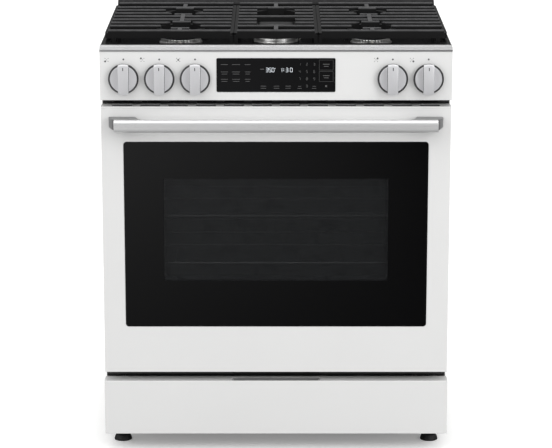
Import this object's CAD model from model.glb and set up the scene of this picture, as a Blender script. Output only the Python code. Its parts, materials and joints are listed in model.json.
"""Looks for a freestanding gas range: white enamel, black glass, brushed steel and cast iron.

Everything is placed from the boxes of the CAD nodes. Lengths are metres; MM turns millimetres into them.
The front of the range faces -Y and +Z is up.
"""

import json
import math

import bmesh
import bpy
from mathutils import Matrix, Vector


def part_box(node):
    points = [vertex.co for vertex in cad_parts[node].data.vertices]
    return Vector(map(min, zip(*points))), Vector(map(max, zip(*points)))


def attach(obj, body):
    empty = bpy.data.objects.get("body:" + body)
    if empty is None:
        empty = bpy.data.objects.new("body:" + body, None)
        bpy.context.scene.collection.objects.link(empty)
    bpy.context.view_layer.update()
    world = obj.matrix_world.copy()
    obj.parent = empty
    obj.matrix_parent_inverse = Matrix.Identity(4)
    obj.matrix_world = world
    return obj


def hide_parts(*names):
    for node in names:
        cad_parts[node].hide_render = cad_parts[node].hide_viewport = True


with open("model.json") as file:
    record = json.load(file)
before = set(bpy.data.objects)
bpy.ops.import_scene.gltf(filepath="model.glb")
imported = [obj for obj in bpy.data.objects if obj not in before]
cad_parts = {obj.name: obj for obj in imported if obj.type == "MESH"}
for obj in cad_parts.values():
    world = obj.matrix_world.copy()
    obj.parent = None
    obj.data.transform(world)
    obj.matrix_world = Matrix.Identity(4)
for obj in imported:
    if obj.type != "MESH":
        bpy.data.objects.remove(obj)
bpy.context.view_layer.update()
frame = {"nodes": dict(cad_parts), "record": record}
NODES = frame["nodes"]
MM = 0.001


# ------------------------------------------------------------------ materials

class Shader:
    """One Principled material, with short calls for the nodes that feed it."""

    def __init__(self, name, color, rough, metal=0.0, **sockets):
        self.mat = bpy.data.materials.new(name)
        self.mat.use_nodes = True
        self.tree = self.mat.node_tree
        self.bsdf = self.tree.nodes["Principled BSDF"]
        self.color = color
        self.normal = None
        self.bsdf.inputs["Base Color"].default_value = (*color, 1)
        self.bsdf.inputs["Roughness"].default_value = rough
        self.bsdf.inputs["Metallic"].default_value = metal
        for key, value in sockets.items():
            self.bsdf.inputs[key.replace("_", " ")].default_value = value

    def node(self, kind, **values):
        made = self.tree.nodes.new(kind)
        for key, value in values.items():
            setattr(made, key, value)
        return made

    def link(self, source, target):
        self.tree.links.new(source, target)

    def coords(self, stretch=(1, 1, 1)):
        place = self.node("ShaderNodeTexCoord")
        mapping = self.node("ShaderNodeMapping")
        mapping.inputs["Scale"].default_value = stretch
        self.link(place.outputs["Object"], mapping.inputs["Vector"])
        return mapping.outputs["Vector"]

    def noise(self, scale, detail=2.0, stretch=(1, 1, 1), rough=0.5):
        made = self.node("ShaderNodeTexNoise")
        made.inputs["Scale"].default_value = scale
        made.inputs["Detail"].default_value = detail
        made.inputs["Roughness"].default_value = rough
        self.link(self.coords(stretch), made.inputs["Vector"])
        return made.outputs["Fac"]

    def cells(self, scale, feature="F1", output="Distance", stretch=(1, 1, 1)):
        made = self.node("ShaderNodeTexVoronoi", feature=feature)
        made.inputs["Scale"].default_value = scale
        self.link(self.coords(stretch), made.inputs["Vector"])
        return made.outputs[output]

    def spread(self, value, low, high, to_low=0.0, to_high=1.0, smooth=False):
        made = self.node("ShaderNodeMapRange")
        if smooth:
            made.interpolation_type = "SMOOTHSTEP"
        for key, number in (("From Min", low), ("From Max", high), ("To Min", to_low), ("To Max", to_high)):
            made.inputs[key].default_value = number
        self.link(value, made.inputs["Value"])
        return made.outputs["Result"]

    def math(self, operation, a, b=None):
        made = self.node("ShaderNodeMath", operation=operation)
        for slot, value in zip(made.inputs, (a, b)):
            if value is None:
                continue
            if isinstance(value, (int, float)):
                slot.default_value = value
            else:
                self.link(value, slot)
        return made.outputs["Value"]

    def mix(self, fac, a, b):
        made = self.node("ShaderNodeMix", data_type="RGBA")
        self.link(fac, made.inputs["Factor"])
        for key, value in ((6, a), (7, b)):
            if isinstance(value, tuple):
                made.inputs[key].default_value = (*value, 1)
            else:
                self.link(value, made.inputs[key])
        return made.outputs[2]

    def tint(self, fac, a, b):
        """Base colour runs from a to b as fac runs from 0 to 1."""
        self.link(self.mix(fac, a, b), self.bsdf.inputs["Base Color"])

    def vary(self, fac, spread_by):
        """Base colour lightens and darkens a little around its own value."""
        darker = tuple(c * (1 - spread_by) for c in self.color)
        lighter = tuple(min(1, c * (1 + spread_by)) for c in self.color)
        self.tint(fac, darker, lighter)

    def gloss(self, fac, low, high):
        self.link(self.spread(fac, 0.3, 0.7, low, high), self.bsdf.inputs["Roughness"])

    def bump(self, height, depth, strength=1.0):
        made = self.node("ShaderNodeBump")
        made.inputs["Strength"].default_value = strength
        made.inputs["Distance"].default_value = depth
        self.link(height, made.inputs["Height"])
        if self.normal is not None:
            self.link(self.normal, made.inputs["Normal"])
        self.normal = made.outputs["Normal"]
        self.link(self.normal, self.bsdf.inputs["Normal"])


def enamel(name, color, rough, peel=0.00006):
    """Glossy porcelain or paint with a faint orange peel."""
    made = Shader(name, color, rough, Coat_Weight=0.5, Coat_Roughness=0.08)
    made.vary(made.noise(6, 3), 0.015)
    made.gloss(made.noise(14, 3), rough * 0.8, rough * 1.3)
    made.bump(made.noise(420, 2), peel)
    return made


def speckled_enamel():
    """Dark porcelain of the oven's inside with fine pale specks."""
    made = Shader("cavity_enamel", (0.028, 0.031, 0.04), 0.3, Coat_Weight=0.4, Coat_Roughness=0.15)
    specks = made.spread(made.cells(330), 0.10, 0.2, 1, 0)
    pale = made.math("MULTIPLY", specks, made.spread(made.noise(90, 2), 0.5, 0.62))
    made.tint(pale, made.color, (0.42, 0.45, 0.52))
    made.gloss(made.noise(25, 3), 0.22, 0.4)
    made.bump(made.noise(260, 3), 0.00012)
    return made


def brushed(name, color, rough, grain=(1, 60, 60), line=700, depth=0.00002, metal=1.0):
    """Metal with fine lines; grain stretches the noise, so 1 marks the direction of brushing. Below 1,
    metal stands for a clear coat that scatters some of the light."""
    made = Shader(name, color, rough, metal)
    lines = made.noise(line / 10, 4, grain, 0.7)
    made.vary(lines, 0.07)
    made.gloss(lines, rough * 0.75, rough * 1.3)
    made.bump(lines, depth)
    return made


def cast(name, color, rough, scale, depth, metal=0.0, **sockets):
    """Sand-cast surface: two sizes of grain and a slow change of tone."""
    made = Shader(name, color, rough, metal, **sockets)
    made.vary(made.noise(30, 4), 0.3)
    made.gloss(made.noise(70, 3), rough * 0.8, min(1, rough * 1.25))
    made.bump(made.noise(scale, 3), depth)
    made.bump(made.noise(scale / 6, 2), depth * 2)
    return made


def worn_iron():
    """Cast iron of the grates: dark and matt below, lighter and smoother where pans rub the bars' tops."""
    made = cast("worn_iron", (0.006, 0.006, 0.0063), 0.5, 700, 0.0001, Specular_IOR_Level=0.3)
    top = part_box("centre_grate")[1].z
    place = made.node("ShaderNodeTexCoord")
    split = made.node("ShaderNodeSeparateXYZ")
    made.link(place.outputs["Object"], split.inputs["Vector"])
    near_top = made.spread(split.outputs["Z"], top - 3.5 * MM, top - 1 * MM, smooth=True)
    patchy = made.spread(made.noise(45, 3), 0.3, 0.7, 0.6, 1.0)
    worn = made.math("MULTIPLY", near_top, patchy)
    made.tint(worn, made.color, (0.1, 0.1, 0.103))
    made.link(made.spread(worn, 0, 1, 0.5, 0.34), made.bsdf.inputs["Roughness"])
    return made


def galvanised():
    made = Shader("galvanised", (0.6, 0.61, 0.62), 0.42, 0.6)
    spangle = made.cells(70, output="Color")
    grey = made.node("ShaderNodeRGBToBW")
    made.link(spangle, grey.inputs["Color"])
    made.vary(grey.outputs["Val"], 0.07)
    made.gloss(grey.outputs["Val"], 0.38, 0.48)
    made.bump(made.noise(500, 2), 0.00002)
    return made


def window_glass():
    """Outer pane: an opaque black print all round, and a clear part in the middle that lets the oven show."""
    made = Shader("black_glass", (0.0018, 0.0018, 0.002), 0.045, Specular_IOR_Level=0.4)
    lo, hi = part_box("door_inner_glass")
    inset = 12 * MM
    half_wide = (hi.x - lo.x) / 2 - inset
    half_high = (hi.z - lo.z) / 2 - inset
    place = made.node("ShaderNodeTexCoord")
    split = made.node("ShaderNodeSeparateXYZ")
    made.link(place.outputs["Object"], split.inputs["Vector"])
    across = made.math("SUBTRACT", made.math("ABSOLUTE", split.outputs["X"]), half_wide)
    off_middle = made.math("ABSOLUTE", made.math("SUBTRACT", split.outputs["Z"], (lo.z + hi.z) / 2))
    up = made.math("SUBTRACT", off_middle, half_high)
    edge = made.math("MAXIMUM", across, up)
    print_on = made.spread(edge, -1.5 * MM, 0.5 * MM, smooth=True)
    made.tint(print_on, (0.016, 0.016, 0.017), (0.0018, 0.0018, 0.002))
    made.link(made.math("MAXIMUM", print_on, 0.35), made.bsdf.inputs["Alpha"])
    made.gloss(made.noise(3, 2), 0.03, 0.06)
    return made


def touch_glass():
    made = Shader("display_black", (0.004, 0.004, 0.0045), 0.08, Specular_IOR_Level=0.3)
    made.vary(made.noise(20, 2), 0.1)
    made.gloss(made.noise(9, 2), 0.05, 0.1)
    return made


def clear_glass(name, color, alpha):
    made = Shader(name, color, 0.05, IOR=1.5, Alpha=alpha)
    made.gloss(made.noise(12, 3), 0.03, 0.09)
    made.vary(made.noise(5, 2), 0.03)
    return made


def moulded(name, color, rough, **sockets):
    made = Shader(name, color, rough, **sockets)
    made.vary(made.noise(40, 3), 0.08)
    made.gloss(made.noise(120, 2), rough * 0.85, min(1, rough * 1.15))
    made.bump(made.noise(900, 2), 0.00004)
    return made


def wool():
    made = Shader("glass_fibre", (0.62, 0.53, 0.25), 0.95, Sheen_Weight=0.4)
    fibres = made.noise(220, 5, (1, 3, 1), 0.7)
    made.tint(fibres, (0.42, 0.34, 0.14), (0.78, 0.7, 0.42))
    made.bump(fibres, 0.001)
    return made


def braid():
    made = Shader("gasket_braid", (0.3, 0.29, 0.27), 0.9, Sheen_Weight=0.3)
    twist = made.node("ShaderNodeTexWave", bands_direction="DIAGONAL")
    twist.inputs["Scale"].default_value = 120
    twist.inputs["Distortion"].default_value = 1.5
    made.link(made.coords(), twist.inputs["Vector"])
    made.vary(twist.outputs["Fac"], 0.4)
    made.bump(twist.outputs["Fac"], 0.0006)
    return made


def board():
    made = Shader("circuit_board", (0.02, 0.14, 0.06), 0.35)
    tracks = made.spread(made.cells(160, output="Distance", stretch=(1, 1, 3)), 0.25, 0.3)
    made.tint(tracks, (0.05, 0.24, 0.1), (0.015, 0.11, 0.05))
    made.bump(tracks, 0.0001)
    return made


def floor_shader():
    """Pale studio floor. It bounces less light than it shows, as a floor with dark flags round it does, and
    what black glass mirrors of it falls off from left to right."""
    made = Shader("floor", (0.95, 0.95, 0.945), 0.9, Specular_IOR_Level=0.0, Emission_Color=(1, 1, 1, 1),
                  Emission_Strength=0.2)
    made.vary(made.noise(1.5, 3), 0.006)
    place = made.node("ShaderNodeTexCoord")
    split = made.node("ShaderNodeSeparateXYZ")
    made.link(place.outputs["Object"], split.inputs["Vector"])
    rays = made.node("ShaderNodeLightPath")
    shown = made.bsdf.outputs["BSDF"]
    for ray in ("Is Diffuse Ray", "Is Glossy Ray"):
        dim = made.node("ShaderNodeBsdfDiffuse")
        dim.inputs["Color"].default_value = (0.5, 0.5, 0.5, 1)
        if ray == "Is Glossy Ray":
            across = made.spread(split.outputs["X"], -0.55, 0.55, 0.38, 0.04)
            outward = made.spread(split.outputs["Y"], -3.6, -1.2, 1.0, 0.45)
            made.link(made.math("MULTIPLY", across, outward), dim.inputs["Color"])
        blend = made.node("ShaderNodeMixShader")
        made.link(rays.outputs[ray], blend.inputs["Fac"])
        made.link(shown, blend.inputs[1])
        made.link(dim.outputs["BSDF"], blend.inputs[2])
        shown = blend.outputs["Shader"]
    made.link(shown, made.tree.nodes["Material Output"].inputs["Surface"])
    return made


def lit(name, color, strength):
    made = Shader(name, color, 0.4, Emission_Color=(*color, 1), Emission_Strength=strength)
    made.gloss(made.noise(200, 1), 0.35, 0.45)
    return made


M = {
    "white_enamel": enamel("white_enamel", (0.76, 0.76, 0.755), 0.2, 0.00002),
    "side_paint": enamel("side_paint", (0.72, 0.72, 0.71), 0.4, 0.00006),
    "stainless": brushed("stainless", (0.7, 0.7, 0.705), 0.34, (0.6, 60, 60), metal=0.75),
    "knob_metal": brushed("knob_metal", (0.82, 0.82, 0.84), 0.4, (60, 60, 0.8), metal=0.5),
    "bezel_black": moulded("bezel_black", (0.03, 0.03, 0.033), 0.25),
    "black_enamel": enamel("black_enamel", (0.006, 0.006, 0.0065), 0.16, 0.000004),
    "cavity_enamel": speckled_enamel(),
    "cast_iron": cast("cast_iron", (0.007, 0.007, 0.0074), 0.32, 700, 0.0001),
    "burner_aluminium": cast("burner_aluminium", (0.68, 0.68, 0.67), 0.36, 500, 0.00006, 1.0),
    "galvanised": galvanised(),
    "chassis_black": enamel("chassis_black", (0.02, 0.02, 0.021), 0.45, 0.0002),
    "foot_black": moulded("foot_black", (0.018, 0.018, 0.019), 0.55),
    "zinc": cast("zinc", (0.5, 0.5, 0.48), 0.42, 300, 0.00003, 1.0),
    "rack_chrome": brushed("rack_chrome", (0.66, 0.66, 0.67), 0.16, (4, 4, 4), 500, 0.00001),
    "glass_fibre": wool(),
    "gasket_braid": braid(),
    "black_glass": window_glass(),
    "clear_glass": clear_glass("clear_glass", (0.06, 0.07, 0.07), 0.22),
    "display_black": touch_glass(),
    "lamp_glass": clear_glass("lamp_glass", (0.8, 0.78, 0.7), 0.55),
    "circuit_board": board(),
    "brass": cast("brass", (0.62, 0.43, 0.17), 0.32, 400, 0.00002, 1.0),
    "ceramic": cast("ceramic", (0.75, 0.73, 0.68), 0.5, 600, 0.00004),
}
LEGEND = moulded("legend_ink", (0.11, 0.11, 0.11), 0.5)
KEY_LINES = moulded("key_lines", (0.05, 0.05, 0.05), 0.5)
GRATE = worn_iron()
HANDLE = brushed("handle_steel", (0.78, 0.78, 0.785), 0.32, (0.6, 60, 60), metal=0.52)
TRIM = brushed("trim_steel", (0.6, 0.6, 0.605), 0.3, (0.6, 60, 60), metal=0.85)
CAP_ENAMEL = cast("cap_enamel", (0.02, 0.02, 0.021), 0.38, 600, 0.00006)
LINING = moulded("dark_lining", (0.1, 0.1, 0.102), 0.5)
PULL = moulded("pull_lining_grey", (0.22, 0.22, 0.222), 0.5)
BRACKET = brushed("bracket_steel", (0.25, 0.25, 0.255), 0.36, (0.6, 60, 60), metal=0.6)
VENT = moulded("vent_black", (0.01, 0.01, 0.0105), 0.6, Specular_IOR_Level=0.2)
PRINT = moulded("panel_print", (0.05, 0.05, 0.055), 0.5)
DIGITS = lit("display_digits", (0.75, 0.8, 0.85), 0.85)
DARK_RIM = brushed("knob_rim", (0.16, 0.16, 0.165), 0.3, (20, 20, 20))


# ------------------------------------------------------------------ geometry

def piece(name, bm, shader, body, replaces=(), sharp=35, bevel=0.0, segments=3):
    """Turns a bmesh into a finished piece that rides on a body."""
    bmesh.ops.recalc_face_normals(bm, faces=bm.faces)
    mesh = bpy.data.meshes.new(name)
    bm.to_mesh(mesh)
    bm.free()
    for face in mesh.polygons:
        face.use_smooth = True
    mesh.set_sharp_from_angle(angle=math.radians(sharp))
    obj = bpy.data.objects.new(name, mesh)
    bpy.context.scene.collection.objects.link(obj)
    mesh.materials.append(shader.mat)
    if bevel:
        soften(obj, bevel, segments)
    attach(obj, body)
    if replaces:
        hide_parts(*replaces)
    return obj


def soften(obj, width, segments=3, angle=30):
    """Rounds the hard edges without changing the mesh itself."""
    weld = obj.modifiers.new("weld", "WELD")
    weld.merge_threshold = 0.002 * MM
    plain = obj.modifiers.new("plain", "DECIMATE")
    plain.decimate_type = "DISSOLVE"
    plain.angle_limit = math.radians(0.4)
    round_off = obj.modifiers.new("round", "BEVEL")
    round_off.width = width
    round_off.segments = segments
    round_off.limit_method = "ANGLE"
    round_off.angle_limit = math.radians(angle)
    round_off.use_clamp_overlap = True
    flat = obj.modifiers.new("flat", "WEIGHTED_NORMAL")
    flat.mode = "FACE_AREA"
    flat.weight = 100
    flat.keep_sharp = False


def ring_of(bm, points):
    return [bm.verts.new(p) for p in points]


def loft(bm, rings, close=True, caps=True):
    """Skins neighbouring rings of equal length."""
    made = [ring_of(bm, ring) for ring in rings]
    count = len(made[0])
    last = count if close else count - 1
    for low, high in zip(made, made[1:]):
        for i in range(last):
            j = (i + 1) % count
            bm.faces.new((low[i], low[j], high[j], high[i]))
    if caps:
        bm.faces.new(made[0])
        bm.faces.new(made[-1])
    return made


def lathe(bm, profile, centre, axis="Z", segments=72, wave=None):
    """Turns (radius, height) points about an axis through centre: Z points up, Y points out of the front."""
    rings = []
    for row, (radius, height) in enumerate(profile):
        ring = []
        for i in range(segments):
            a = 2 * math.pi * i / segments
            r = radius + (wave(row, i) if wave else 0)
            if axis == "Z":
                ring.append(Vector(centre) + Vector((r * math.cos(a), r * math.sin(a), height)))
            else:
                ring.append(Vector(centre) + Vector((r * math.cos(a), -height, r * math.sin(a))))
        rings.append(ring)
    loft(bm, rings)


def stadium_points(width, length, z, centre, steps=16):
    """Outline with half-round ends, its long side along Y."""
    r = width / 2
    straight = (length - width) / 2
    points = []
    for end, start in ((1, 0), (-1, math.pi)):
        for i in range(steps + 1):
            a = start + math.pi * i / steps
            points.append(Vector((r * math.cos(a), end * straight + r * math.sin(a), z)) + Vector(centre))
    return points


def frame_at(tangent, up):
    side = tangent.cross(up)
    if side.length < 1e-6:
        side = tangent.orthogonal()
    side.normalize()
    return side, side.cross(tangent).normalized()


def tube(bm, path, radius, sides=12, closed=False):
    """Round wire or pipe along a path."""
    path = [Vector(p) for p in path]
    count = len(path)
    up = None
    rings = []
    for i, point in enumerate(path):
        if closed:
            before, after = path[i - 1], path[(i + 1) % count]
        else:
            before, after = path[max(i - 1, 0)], path[min(i + 1, count - 1)]
        tangent = (after - before).normalized()
        if up is None:
            up = tangent.orthogonal().normalized()
        side, up = frame_at(tangent, up)
        ring = []
        for k in range(sides):
            a = 2 * math.pi * k / sides
            ring.append(point + radius * (math.cos(a) * side + math.sin(a) * up))
        rings.append(ring)
    if closed:
        made = loft(bm, rings, caps=False)
        first, last = made[0], made[-1]
        shift = min(range(sides), key=lambda s: (first[s].co - last[0].co).length)
        for i in range(sides):
            j = (i + 1) % sides
            bm.faces.new((last[i], last[j], first[(j + shift) % sides], first[(i + shift) % sides]))
    else:
        loft(bm, rings)


def fillet(points, radius, steps=6, closed=False):
    """Path through points with each corner turned into an arc."""
    points = [Vector(p) for p in points]
    count = len(points)
    path = []
    for i, corner in enumerate(points):
        if not closed and i in (0, count - 1):
            path.append(corner)
            continue
        a = (points[i - 1] - corner).normalized()
        b = (points[(i + 1) % count] - corner).normalized()
        half = a.angle(b) / 2
        reach = radius / math.tan(half)
        start, end = corner + a * reach, corner + b * reach
        for k in range(steps + 1):
            t = k / steps
            path.append((1 - t) ** 2 * start + 2 * t * (1 - t) * corner + t ** 2 * end)
    return path


def round_outline(lo, hi, radius, steps=6):
    """Corner points of a rectangle with round corners, as pairs."""
    outline = []
    centres = ((hi[0] - radius, hi[1] - radius, 0), (lo[0] + radius, hi[1] - radius, 90),
               (lo[0] + radius, lo[1] + radius, 180), (hi[0] - radius, lo[1] + radius, 270))
    for cx, cz, start in centres:
        for i in range(steps + 1):
            a = math.radians(start + 90 * i / steps)
            outline.append((cx + radius * math.cos(a), cz + radius * math.sin(a)))
    return outline


def slab_y(bm, outline, y0, y1):
    """Solid between y0 and y1 whose outline is given in (x, z)."""
    loft(bm, [[Vector((x, y0, z)) for x, z in outline], [Vector((x, y1, z)) for x, z in outline]])


def ring_y(centre, radius, y, count):
    """Circle of points about the Y axis."""
    turn = 2 * math.pi / count
    return [Vector((centre[0] + radius * math.cos(i * turn), y, centre[2] + radius * math.sin(i * turn)))
            for i in range(count)]


def loft_ring(bm, rows):
    """Skins rings whose last one repeats the first, which makes a hollow ring."""
    loft(bm, rows, caps=False)
    bmesh.ops.remove_doubles(bm, verts=bm.verts, dist=0.001 * MM)


def box_in(bm, lo, hi):
    slab_y(bm, [(lo[0], lo[2]), (hi[0], lo[2]), (hi[0], hi[2]), (lo[0], hi[2])], lo[1], hi[1])


def middle(node):
    lo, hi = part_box(node)
    return (lo + hi) / 2


# ------------------------------------------------------------------ burners

def burner_head(bm, centre, radius, top):
    """Round burner base: a flange, a ring of flame ports and a raised seat for the cap."""
    ports = 36
    segments = ports * 4
    flange = top - 11.5 * MM

    def port(row, i):
        return -2.2 * MM if row in (5, 6) and i % 4 == 0 else 0

    rim = ((-3, 0), (1, 0), (1.5, 1), (1, 2.4), (-0.5, 3), (-1.5, 5), (-2, 9.5), (-3, 10.6), (-6, 11.4),
           (-12, 11.4))
    profile = [(radius + out * MM, height * MM) for out, height in rim]
    lathe(bm, profile, (centre.x, centre.y, flange), segments=segments, wave=port)


def burner_bases():
    bm = bmesh.new()
    for name, radius in (("left_front", 46), ("right_front", 44), ("left_rear", 30), ("right_rear", 38)):
        cap = middle(f"{name}_burner_cap")
        burner_head(bm, cap, radius * MM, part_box(f"{name}_burner_cap")[0].z)
    lo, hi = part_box("centre_burner_cap")
    centre = (lo + hi) / 2
    width, length = hi.x - lo.x + 12 * MM, hi.y - lo.y + 12 * MM
    z = lo.z - 12 * MM
    rim = ((3, 0), (-1, 0), (-1.5, 1), (-1, 2.4), (0.5, 3), (1.5, 5), (2, 9.5), (3, 10.8), (6, 11.6),
           (12, 11.6))
    rings = []
    for inset, height in rim:
        rings.append(stadium_points(width - 2 * inset * MM, length - 2 * inset * MM, z + height * MM,
                                    (centre.x, centre.y, 0), 24))
    loft(bm, rings)
    piece("burner_heads", bm, M["burner_aluminium"], "chassis", ["surface_burner_bases"])


def burner_caps():
    for name in ("left_front", "right_front", "left_rear", "right_rear"):
        lo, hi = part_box(f"{name}_burner_cap")
        radius = (hi.x - lo.x) / 2
        rim = ((6, 0), (1, 0), (0, 1), (0.2, 2.6), (1.6, 4.4), (4, 5.8), (8, 6.8))
        profile = [(radius - inset * MM, height * MM) for inset, height in rim]
        profile += [(radius * 0.6, 7.5 * MM), (radius * 0.3, 7.9 * MM), (0.5 * MM, 8 * MM)]
        bm = bmesh.new()
        lathe(bm, profile, ((lo.x + hi.x) / 2, (lo.y + hi.y) / 2, lo.z), segments=96)
        piece(f"{name}_cap", bm, CAP_ENAMEL, "chassis", [f"{name}_burner_cap"])
    lo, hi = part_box("centre_burner_cap")
    centre = (lo + hi) / 2
    rings = []
    rim = ((6, 0), (1, 0), (0, 1), (0.2, 2.6), (1.6, 4.2), (4, 5.6), (8, 6.5), (18, 7.2), (34, 7.4))
    for inset, height in rim:
        rings.append(stadium_points(hi.x - lo.x - 2 * inset * MM, hi.y - lo.y - 2 * inset * MM,
                                    lo.z + height * MM, (centre.x, centre.y, 0), 24))
    bm = bmesh.new()
    loft(bm, rings)
    piece("centre_cap", bm, CAP_ENAMEL, "chassis", ["centre_burner_cap"])


# ------------------------------------------------------------------ knobs

def knob(number):
    node = f"knob_{number}"
    body = f"control_{number}"
    lo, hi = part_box(node)
    centre = ((lo.x + hi.x) / 2, hi.y, (lo.z + hi.z) / 2)
    reach = (hi.x - lo.x) / 2
    outer = (hi.z - lo.z) / 2
    disc = 9 * MM
    tall = hi.y - lo.y

    bm = bmesh.new()
    side = reach - 2 * MM
    profile = [(4 * MM, 0), (reach - 4 * MM, 0), (side, 1.5 * MM), (side, disc - 0.8 * MM),
               (reach - 2.8 * MM, disc), (2 * MM, disc)]
    lathe(bm, profile, centre, "Y", 96)
    # Raised grip: a bar cut off by the knob's own circle, narrower at its top
    half = 11 * MM
    steps = 10
    rings = []
    levels = ((0, 0, disc - 1 * MM), (0, 0, tall - 1.4 * MM), (0.2 * MM, 0.2 * MM, tall - 0.6 * MM),
              (0.6 * MM, 0.5 * MM, tall - 0.2 * MM), (1.2 * MM, 1 * MM, tall))
    for side_in, end_in, height in levels:
        w = half - side_in
        r = outer - end_in
        a = math.asin(w / r)
        ring = []
        for sign in (1, -1):
            for i in range(steps + 1):
                t = -a + 2 * a * i / steps
                ring.append(Vector((centre[0] + sign * r * math.sin(t), centre[1] - height,
                                    centre[2] + sign * r * math.cos(t))))
        rings.append(ring)
    loft(bm, rings)
    piece(f"{node}_body", bm, M["knob_metal"], body, [node])

    bm = bmesh.new()
    ring = [(-2.05 * MM, disc - 1.6 * MM), (-1.5 * MM, disc - 1 * MM), (1.2 * MM, disc - 1.2 * MM),
            (1.9 * MM, disc - 2.6 * MM), (1.4 * MM, 1.5 * MM), (-2.05 * MM, 1.2 * MM)]
    loft_ring(bm, [ring_y(centre, reach + out, centre[1] - height, 96) for out, height in ring + ring[:1]])
    piece(f"{node}_rim", bm, DARK_RIM, body)

    bm = bmesh.new()
    slab_y(bm, round_outline((centre[0] - 0.9 * MM, centre[2] + outer - 12 * MM),
                             (centre[0] + 0.9 * MM, centre[2] + outer - 5 * MM), 0.8 * MM),
           lo.y - 0.05 * MM, lo.y + 0.4 * MM)
    # Shadow gaps where the grip stands on the disc
    for side in (-1, 1):
        x = centre[0] + side * (half + 0.4 * MM)
        tall_half = math.sqrt((reach - 3 * MM) ** 2 - half ** 2)
        box_in(bm, (x - 0.4 * MM, hi.y - disc - 0.1 * MM, centre[2] - tall_half),
               (x + 0.4 * MM, hi.y - disc + 0.4 * MM, centre[2] + tall_half))
    piece(f"{node}_pointer", bm, PRINT, body)


# ------------------------------------------------------------------ controls

SEGMENTS = {"0": "abcdef", "1": "bc", "2": "abged", "3": "abgcd", "4": "fgbc", "5": "afgcd", "6": "afgedc",
            "7": "abc", "8": "abcdefg", "9": "abcdfg"}


def digit(bm, mark, x, z, height, y, stroke):
    """Seven-bar digit with its lower left corner at (x, z), made of thin raised bars."""
    w = height * 0.55
    h = height / 2
    bars = {"a": (x, z + 2 * h, w, 0), "g": (x, z + h, w, 0), "d": (x, z, w, 0), "f": (x, z + h, 0, h),
            "e": (x, z, 0, h), "b": (x + w, z + h, 0, h), "c": (x + w, z, 0, h)}
    for key in SEGMENTS[mark]:
        bx, bz, dx, dz = bars[key]
        s = stroke / 2
        gap = stroke * 0.6
        if dx:
            box_in(bm, (bx + gap, y, bz - s), (bx + dx - gap, y + 0.15 * MM, bz + s))
        else:
            box_in(bm, (bx - s, y, bz + gap), (bx + s, y + 0.15 * MM, bz + dz - gap))


def display():
    lo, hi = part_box("display_glass")
    y = lo.y - 0.08 * MM
    mid = (lo.z + hi.z) / 2
    bm = bmesh.new()
    base = mid + 7 * MM
    tall, bar = 8.6 * MM, 0.65 * MM
    for mark, x in (("3", -21.8), ("5", -15.3), ("0", -8.8)):
        digit(bm, mark, x * MM, base, tall, y, bar)
    box_in(bm, (-2.6 * MM, y, base + 7 * MM), (-1.4 * MM, y + 0.15 * MM, base + 8.2 * MM))
    for mark, x in (("1", 8), ("3", 21), ("0", 30.5)):
        digit(bm, mark, x * MM, base, tall, y, bar)
    for dz in (2.2, 6):
        box_in(bm, (16 * MM, y, base + dz * MM), (17.2 * MM, y + 0.15 * MM, base + (dz + 1.2) * MM))
    piece("display_clock", bm, DIGITS, "chassis")

    # Touch marks: short strokes for the keys, a number pad and two boxed keys
    bm = bmesh.new()
    thin = 0.9 * MM

    def stroke(cx, cz, width, height=thin):
        box_in(bm, (cx - width / 2, y, cz - height / 2), (cx + width / 2, y + 0.15 * MM, cz + height / 2))

    left = lo.x
    for row, lines in ((23, 1), (7, 2), (-9, 2)):
        for column, width in ((17, 15), (42, 17), (67, 12)):
            for line in range(lines):
                stroke(left + column * MM, mid + (row - 4.6 * line) * MM, (width - 3 * line) * MM)
    for column in (-27, 1, 26):
        for line in range(2):
            stroke(column * MM, mid + (-24 - 4.6 * line) * MM, 12 * MM)
    stroke(-30 * MM, mid + 13 * MM, 8 * MM, 1.4 * MM)
    pad = ("123", "456", "789", " 0 ")
    for row, marks in enumerate(pad):
        for column, mark in enumerate(marks):
            cx = (51 + 15.6 * column) * MM
            cz = mid + (21 - 15.8 * row) * MM
            if mark == " ":
                stroke(cx, cz + 2 * MM, 7 * MM)
                stroke(cx, cz - 2.4 * MM, 9 * MM)
            else:
                digit(bm, mark, cx - 1.4 * MM, cz, 5.2 * MM, y, 0.7 * MM)
    right = hi.x - 20 * MM
    for cz in (22, -3):
        for line in (1.8, -2.8):
            stroke(right, mid + (cz + line) * MM, 14 * MM if line > 0 else 10 * MM, 1.2 * MM)
    stroke(right, mid - 24 * MM, 4 * MM, 4 * MM)
    piece("display_marks", bm, LEGEND, "chassis")

    bm = bmesh.new()
    for cz in (22, -3):
        half_w, half_h = 15 * MM, 11 * MM
        for sx, sz, w, h in ((0, half_h, half_w, 0.4 * MM), (0, -half_h, half_w, 0.4 * MM),
                             (half_w, 0, 0.4 * MM, half_h), (-half_w, 0, 0.4 * MM, half_h)):
            x, z = right + sx, mid + cz * MM + sz
            box_in(bm, (x - w, y, z - h), (x + w, y + 0.15 * MM, z + h))
    piece("display_key_frames", bm, KEY_LINES, "chassis")


def panel_prints():
    """Dot above each knob, and a five-dot burner map with its own burner marked."""
    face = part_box("control_panel")[0].y
    bm = bmesh.new()

    def dot(cx, cz, radius):
        lathe(bm, [(radius, 0), (radius, 0.12 * MM)], (cx, face - 0.02 * MM, cz), "Y", 24)

    for number, own in enumerate((0, 2, 4, 3, 1), 1):
        at = middle(f"knob_{number}")
        dot(at.x, at.z + 41 * MM, 1.9 * MM)
        for i, (dx, dz) in enumerate(((-3.2, -3.2), (3.2, -3.2), (-3.2, 3.2), (3.2, 3.2), (0, 0))):
            dot(at.x + (dx - 36) * MM, at.z + (dz + 40) * MM, 2.0 * MM if i == own else 0.8 * MM)
    piece("panel_prints", bm, PRINT, "chassis")


# ------------------------------------------------------------------ oven inside

RACK_PITCH = 54 * MM


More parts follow.
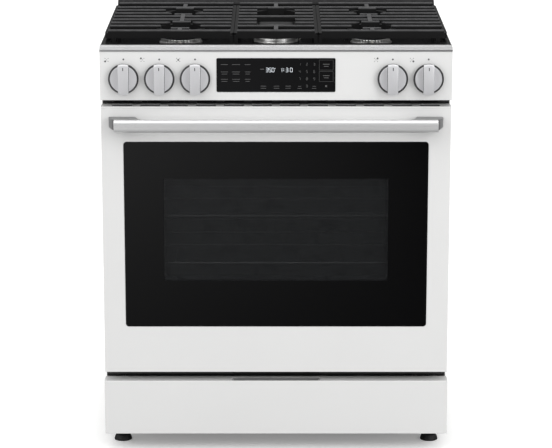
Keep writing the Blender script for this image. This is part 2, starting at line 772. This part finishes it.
def racks():
    """Round-wire shelves in the places of the CAD racks."""
    lo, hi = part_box("oven_racks")
    wire, thin = 2.5 * MM, 1.6 * MM
    rise = 20 * MM
    levels = (lo.z + wire, hi.z - rise + wire)
    for name, z in zip(("lower_rack", "upper_rack"), levels):
        bm = bmesh.new()
        x0, x1 = lo.x + wire, hi.x - wire
        y0, y1 = lo.y + wire, hi.y - wire
        rim = fillet([(x0, y0, z), (x1, y0, z), (x1, y1, z), (x0, y1, z)], 14 * MM, 6, True)
        tube(bm, rim, wire, 12, True)
        bars = 23
        for i in range(1, bars + 1):
            x = lo.x + i * (hi.x - lo.x) / (bars + 1)
            on_rim, on_top = z + 1 * MM, z + 2.4 * MM
            tube(bm, fillet([(x, y0 - 0.5 * MM, on_rim), (x, y0 + 3 * MM, on_top), (x, y1 - 3 * MM, on_top),
                             (x, y1, on_rim)], 2 * MM, 3), thin, 8)
        for y in (y0 + 168 * MM, y1 - 130 * MM):
            tube(bm, [(x0, y, z), (x1, y, z)], wire, 12)
        left, right = x0 + 60 * MM, x1 - 60 * MM
        y, top = y1 - 1 * MM, z + rise - 5 * MM
        tube(bm, fillet([(left, y, z), (left, y, top), (right, y, top), (right, y, z)], 8 * MM, 5), thin, 10)
        piece(name, bm, M["rack_chrome"], "chassis", ["oven_racks"])


def rack_guides():
    lo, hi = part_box("rack_guides")
    r = 2 * MM
    y_front, y_back = lo.y + 14 * MM, hi.y - 34 * MM
    bm = bmesh.new()
    for side in (-1, 1):
        x_post = side * (hi.x - 5 * MM)
        x_run = side * (hi.x - 12 * MM)
        for y in (y_front, y_back):
            tube(bm, [(x_post, y, lo.z + 2 * MM), (x_post, y, hi.z - 2 * MM)], r, 10)
            for z in (lo.z + 22 * MM, hi.z - 18 * MM):
                tube(bm, [(x_post, y, z), (side * (hi.x - 0.2 * MM), y, z)], 3 * MM, 12)
        for i in range(-1, 5):
            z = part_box("oven_racks")[0].z + i * RACK_PITCH - 2 * MM
            tube(bm, fillet([(x_post, y_front, z), (x_run, lo.y + 6 * MM, z), (x_run, hi.y - 24 * MM, z),
                             (x_post, y_back, z)], 5 * MM, 4), r, 10)
    piece("rack_guide_wires", bm, M["rack_chrome"], "chassis", ["rack_guides"])


def oven_tube_burners():
    """Bake and broil burners with rows of small ports along their tubes."""
    for node, half in (("bake_burner", 190), ("broil_burner", 150)):
        lo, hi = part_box(node)
        r = 8 * MM
        low = node == "bake_burner"
        z = (lo.z + 10.4 * MM) if low else (hi.z - 10.4 * MM)
        x = half * MM
        y_front = lo.y + 10.4 * MM
        y_leg = hi.y - (78 if low else 128) * MM
        bm = bmesh.new()
        bend = [(-x, y_leg, z), (-x, y_front, z), (x, y_front, z), (x, y_leg, z)]
        tube(bm, fillet(bend, 24 * MM, 8), r, 24)
        tube(bm, [(0, y_front + r, z), (0, hi.y, z)], r * 0.96, 24)
        ports = 26
        for side in (-1, 1):
            for i in range(ports):
                y = y_front + 40 * MM + i * (y_leg - y_front - 50 * MM) / ports
                tube(bm, [(side * (x + r - 1 * MM), y, z), (side * (x + r + 0.3 * MM), y, z)], 1.1 * MM, 8)
        # Glow bar in its holder
        y_bar = hi.y - 168 * MM
        z_bar = z - 7 * MM if low else z + 5 * MM
        box_in(bm, (32 * MM, y_bar, z_bar), (44 * MM, y_bar + 84 * MM, z_bar + 5 * MM))
        piece(f"{node}_tubes", bm, M["zinc"], "chassis", [node])


def gasket():
    """Braided rope around the oven mouth."""
    lo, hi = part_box("door_gasket")
    r = 3.4 * MM
    y = hi.y - 1.2 * MM
    bm = bmesh.new()
    x0, x1, z0, z1 = lo.x + r, hi.x - r, lo.z + r, hi.z - r
    path = fillet([(x0, y, z0), (x1, y, z0), (x1, y, z1), (x0, y, z1)], 20 * MM, 8, True)
    tube(bm, path, r, 12, True)
    for v in bm.verts:
        v.co.y = y + (v.co.y - y) * 0.36
    piece("gasket_rope", bm, M["gasket_braid"], "chassis", ["door_gasket"])


def lamp():
    """Ribbed glass dome with a wire guard over the oven lamp."""
    lo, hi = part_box("oven_lamp")
    cx, cz = (lo.x + hi.x) / 2, (lo.z + hi.z) / 2
    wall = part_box("oven_liner")[1].y - 1.5 * MM

    def rib(row, i):
        return (0.4 * MM if i % 4 < 2 else -0.4 * MM) if row in (3, 4, 5) else 0

    bm = bmesh.new()
    dome = ((2, -30), (14, -30), (19, -2), (27, 0.3), (26.5, 5), (22, 11), (12, 14.6), (1, 15.5))
    profile = [(radius * MM, height * MM) for radius, height in dome]
    lathe(bm, profile, (cx, wall, cz), "Y", 96, rib)
    piece("lamp_dome", bm, M["lamp_glass"], "chassis", ["oven_lamp"])


# ------------------------------------------------------------------ hardware

def screw_head(bm, centre):
    """Hexagon washer head that looks towards +Y."""
    radius = 4 * MM
    washer = [(radius, 0), (radius, 0.5 * MM), (radius * 0.9, 0.8 * MM)]
    hexagon = [(radius * 0.62, 0.7 * MM), (radius * 0.62, 2 * MM), (radius * 0.5, 2.3 * MM)]
    for profile, sides in ((washer, 24), (hexagon, 6)):
        loft(bm, [ring_y(centre, r, centre[1] + height, sides) for r, height in profile])


def rear_screws():
    lo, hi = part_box("case_screws")
    bm = bmesh.new()
    for x in (lo.x + 4 * MM, hi.x - 4 * MM):
        for z in (110, 320, 530, 740, 870):
            screw_head(bm, (x, lo.y, z * MM))
    piece("rear_screws", bm, M["zinc"], "chassis", ["case_screws"])


def rear_details():
    """Rubber bush in the hole that the supply lead goes through."""
    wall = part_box("rear_panel")[1].y
    hole = (-250 * MM, wall - 1.8 * MM, 140 * MM)
    section = [(7, -3), (13.5, -3), (14, -2), (14, 0.5), (12, 1.6), (8, 1.6), (7, 0.6)]
    bm = bmesh.new()
    rows = []
    for radius, out in section + section[:1]:
        rows.append(ring_y(hole, radius * MM, hole[1] + out * MM, 48))
    loft_ring(bm, rows)
    piece("power_grommet", bm, M["foot_black"], "chassis")


def feet():
    """Nylon pads on threaded stems."""
    lo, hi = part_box("leveling_feet")
    bm = bmesh.new()
    inset = 20 * MM
    for x in (lo.x + inset, hi.x - inset):
        for y in (lo.y + inset, hi.y - inset):
            pad = ((17, 0), (19.4, 0), (20, 0.8), (19.6, 3), (17.5, 9), (15, 12), (8, 13.5), (7, 16))
            lathe(bm, [(radius * MM, height * MM) for radius, height in pad], (x, y, lo.z), "Z", 48)
            turns = 13
            thread = []
            for i in range(turns * 2 + 1):
                thread.append(((5 if i % 2 else 4.2) * MM, (16 + i * 1.45) * MM))
            lathe(bm, thread, (x, y, lo.z), "Z", 24)
            nut = [(9.2 * MM, 32 * MM), (9.5 * MM, 33 * MM), (9.5 * MM, 39 * MM), (9.2 * MM, 40 * MM)]
            lathe(bm, nut, (x, y, lo.z), "Z", 6)
    piece("feet", bm, M["foot_black"], "chassis", ["leveling_feet"])


def door_inside():
    """Retaining frame around the inner window, and the screws that hold the liner."""
    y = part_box("door_inner_liner")[1].y
    glo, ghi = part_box("door_inner_glass")
    outside, inside = 6 * MM, 12 * MM
    outer = round_outline((glo.x + outside, glo.z + outside), (ghi.x - outside, ghi.z - outside), 14 * MM)
    inner = round_outline((glo.x + inside, glo.z + inside), (ghi.x - inside, ghi.z - inside), 10 * MM)
    low, high = y - 1 * MM, y + 0.9 * MM
    bm = bmesh.new()
    section = ((outer, low), (outer, high), (inner, high), (inner, low), (outer, low))
    loft_ring(bm, [[Vector((a, height, b)) for a, b in outline] for outline, height in section])
    piece("inner_window_frame", bm, M["cavity_enamel"], "oven_door", bevel=0.4 * MM)
    bm = bmesh.new()
    liner_sheet = y - 7 * MM
    for x in (-350, 350):
        for z in (260, 420, 580, 740):
            screw_head(bm, (x * MM, liner_sheet, z * MM))
    for x in (-200, 0, 200):
        screw_head(bm, (x * MM, liner_sheet, 745 * MM))
    piece("liner_screws", bm, M["zinc"], "oven_door")


def linings():
    """Dark linings in the air slots of the door's top and in the drawer's finger pull."""
    lo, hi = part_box("door_top_cap")
    thin = 0.4 * MM
    slots, pitch, half_slot = 12, 60.6 * MM, 21.4 * MM
    bm = bmesh.new()
    for i in range(slots):
        x = (i - (slots - 1) / 2) * pitch
        x0, x1 = x - half_slot, x + half_slot
        y0, y1 = lo.y + 7.1 * MM, lo.y + 28.9 * MM
        z0, z1 = hi.z - 4 * MM, hi.z - 0.6 * MM
        box_in(bm, (x0, y1 - thin, z0), (x1, y1, z1))
        box_in(bm, (x0, y0, z0), (x1, y0 + thin, z1))
        for a, b in ((x0, x0 + thin), (x1 - thin, x1)):
            box_in(bm, (a, y0, z0), (b, y1, z1))
    piece("slot_linings", bm, LINING, "oven_door")
    lo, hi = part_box("drawer_front")
    bm = bmesh.new()
    half_top, half_low = 97 * MM, 86.4 * MM
    top, low = hi.z - 0.4 * MM, hi.z - 21.6 * MM
    slab_y(bm, [(-half_top, top), (-half_low, low), (half_low, low), (half_top, top)],
           lo.y + 27.5 * MM, lo.y + 27.95 * MM)
    piece("pull_lining", bm, PULL, "storage_drawer")


def grate_feet():
    """Soft shoes round the lower ends of the grates' feet."""
    foot, shoe = 8.5 * MM, 0.8 * MM
    for name, left_in, right_in in (("left_grate", 15, 0), ("centre_grate", 0, 0), ("right_grate", 0, 15)):
        lo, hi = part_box(name)
        bm = bmesh.new()
        for x in (lo.x + left_in * MM + 0.2 * MM, hi.x - right_in * MM - foot - 0.2 * MM):
            for y in (lo.y + 0.2 * MM, (lo.y + hi.y - foot) / 2, hi.y - foot - 0.2 * MM):
                far = foot + shoe
                box_in(bm, (x - shoe, y - shoe, lo.z - 0.1 * MM), (x + far, y + far, lo.z + 5 * MM))
        piece(f"{name}_shoes", bm, M["foot_black"], f"{name}_body", bevel=0.5 * MM)


# ------------------------------------------------------------------ carried-over CAD nodes

# Radius of the rounded edges, in millimetres
ROUNDING = {
    "door_outer_frame": 1.2, "door_outer_glass": 0.5, "door_top_cap": 0.8, "door_inner_liner": 0.8,
    "control_panel": 1.2, "drawer_front": 1.6, "front_trim": 0.8, "rear_vent_trim": 0.8, "cooktop_pan": 0.6,
    "door_handle": 1.2, "handle_brackets": 2.0, "left_grate": 2.2, "centre_grate": 2.2, "right_grate": 2.2,
    "left_side_panel": 0.3, "right_side_panel": 0.3, "rear_panel": 0.2, "base_frame": 0.3, "oven_liner": 0.4,
    "oven_front_frame": 0.3, "oven_floor_panel": 0.3, "drawer_box": 0.4, "drawer_rails": 0.3,
    "hinge_arms": 0.5, "hinge_receivers": 0.5, "pressure_regulator": 1.0, "gas_valves": 0.8,
    "knob_bezels": 0.1, "display_glass": 0.3, "door_inner_glass": 0.3, "oven_flue": 0.2,
    "spark_electrodes": 0.2, "control_board": 0.1, "temperature_sensor": 0.2,
}

# Nodes that look different from the rest of their slot
OWN_LOOK = {"door_handle": HANDLE, "handle_brackets": BRACKET, "front_trim": TRIM, "rear_vent_trim": VENT,
            "left_grate": GRATE, "centre_grate": GRATE, "right_grate": GRATE}


def dress_cad_nodes():
    """Gives every CAD node that still shows its material, and rounds its edges."""
    slots = {row["node"]: row["material_slot"] for row in frame["record"]["subparts"]}
    for name, obj in NODES.items():
        obj.data.materials.clear()
        obj.data.materials.append(OWN_LOOK.get(name, M[slots[name]]).mat)
        if name in ROUNDING:
            soften(obj, ROUNDING[name] * MM, 3 if ROUNDING[name] >= 0.8 else 2)


# ------------------------------------------------------------------ stage

def stage():
    bm = bmesh.new()
    bmesh.ops.create_circle(bm, cap_ends=True, radius=40, segments=96)
    mesh = bpy.data.meshes.new("floor")
    bm.to_mesh(mesh)
    bm.free()
    floor = bpy.data.objects.new("floor", mesh)
    bpy.context.scene.collection.objects.link(floor)
    mesh.materials.append(floor_shader().mat)


def sky():
    """White to the camera, an even pale tent to matt surfaces, and to glossy ones a darker room that is
    brighter above and on the left, with a softbox right above."""
    world = bpy.data.worlds.new("studio")
    bpy.context.scene.world = world
    world.use_nodes = True
    tree = world.node_tree
    tree.nodes.clear()
    place = tree.nodes.new("ShaderNodeTexCoord")
    split = tree.nodes.new("ShaderNodeSeparateXYZ")
    tree.links.new(place.outputs["Generated"], split.inputs["Vector"])

    def ramp(socket, low, high, to_low, to_high):
        made = tree.nodes.new("ShaderNodeMapRange")
        for key, number in (("From Min", low), ("From Max", high), ("To Min", to_low), ("To Max", to_high)):
            made.inputs[key].default_value = number
        tree.links.new(socket, made.inputs["Value"])
        return made.outputs["Result"]

    def join(operation, a, b):
        made = tree.nodes.new("ShaderNodeMath")
        made.operation = operation
        tree.links.new(a, made.inputs[0])
        tree.links.new(b, made.inputs[1])
        return made.outputs[0]

    def background(strength):
        made = tree.nodes.new("ShaderNodeBackground")
        made.inputs["Color"].default_value = (1, 1, 1, 1)
        if isinstance(strength, float):
            made.inputs["Strength"].default_value = strength
        else:
            tree.links.new(strength, made.inputs["Strength"])
        return made

    def choose(ray, no, yes):
        made = tree.nodes.new("ShaderNodeMixShader")
        tree.links.new(rays.outputs[ray], made.inputs["Fac"])
        tree.links.new(no.outputs[0], made.inputs[1])
        tree.links.new(yes.outputs[0], made.inputs[2])
        return made

    rays = tree.nodes.new("ShaderNodeLightPath")
    across = ramp(split.outputs["X"], -0.35, 0.35, 1.25, 0.6)
    room = join("MULTIPLY", ramp(split.outputs["Z"], 0.15, 0.8, 0.06, 0.75), across)
    tent = background(1.08)
    softbox_above = join("MULTIPLY", ramp(split.outputs["Z"], 0.9, 1.0, 0.0, 3.2), across)
    glossy = background(join("ADD", room, softbox_above))
    output = tree.nodes.new("ShaderNodeOutputWorld")
    inside = choose("Is Glossy Ray", tent, glossy)
    shown = choose("Is Camera Ray", inside, background(1.0))
    tree.links.new(shown.outputs[0], output.inputs["Surface"])


def softbox(name, at, aim, size, power):
    light = bpy.data.lights.new(name, "AREA")
    light.shape = "RECTANGLE"
    light.size, light.size_y = size
    light.energy = power
    obj = bpy.data.objects.new(name, light)
    bpy.context.scene.collection.objects.link(obj)
    obj.location = at
    obj.rotation_euler = (Vector(aim) - Vector(at)).to_track_quat("-Z", "Y").to_euler()


def camera():
    """Long lens from the front, above the cooktop's level and looking down on it."""
    door_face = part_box("door_outer_frame")[0].y
    data = bpy.data.cameras.new("camera")
    data.lens = 159.9
    data.sensor_width = 36
    data.clip_end = 100
    obj = bpy.data.objects.new("camera", data)
    bpy.context.scene.collection.objects.link(obj)
    obj.location = (0, door_face - 5.203, 1.781)
    obj.rotation_euler = (math.radians(90 - 13.6), 0, 0)
    bpy.context.scene.camera = obj


def view_settings():
    scene = bpy.context.scene
    scene.view_settings.view_transform = "Standard"
    scene.view_settings.look = "None"
    scene.view_settings.exposure = 0.0


dress_cad_nodes()
burner_bases()
burner_caps()
for control in range(1, 6):
    knob(control)
display()
panel_prints()
racks()
rack_guides()
oven_tube_burners()
gasket()
lamp()
rear_screws()
rear_details()
feet()
door_inside()
linings()
grate_feet()
stage()
sky()
softbox("key", (-2.6, -3.0, 2.8), (0, 0, 0.6), (2.2, 2.2), 23)
softbox("fill", (2.6, -3.2, 2.0), (0, 0, 0.5), (1.6, 2.4), 45)
softbox("overhead", (0, -0.25, 2.5), (0, -0.2, 0.9), (2.4, 1.0), 5)
camera()
view_settings()
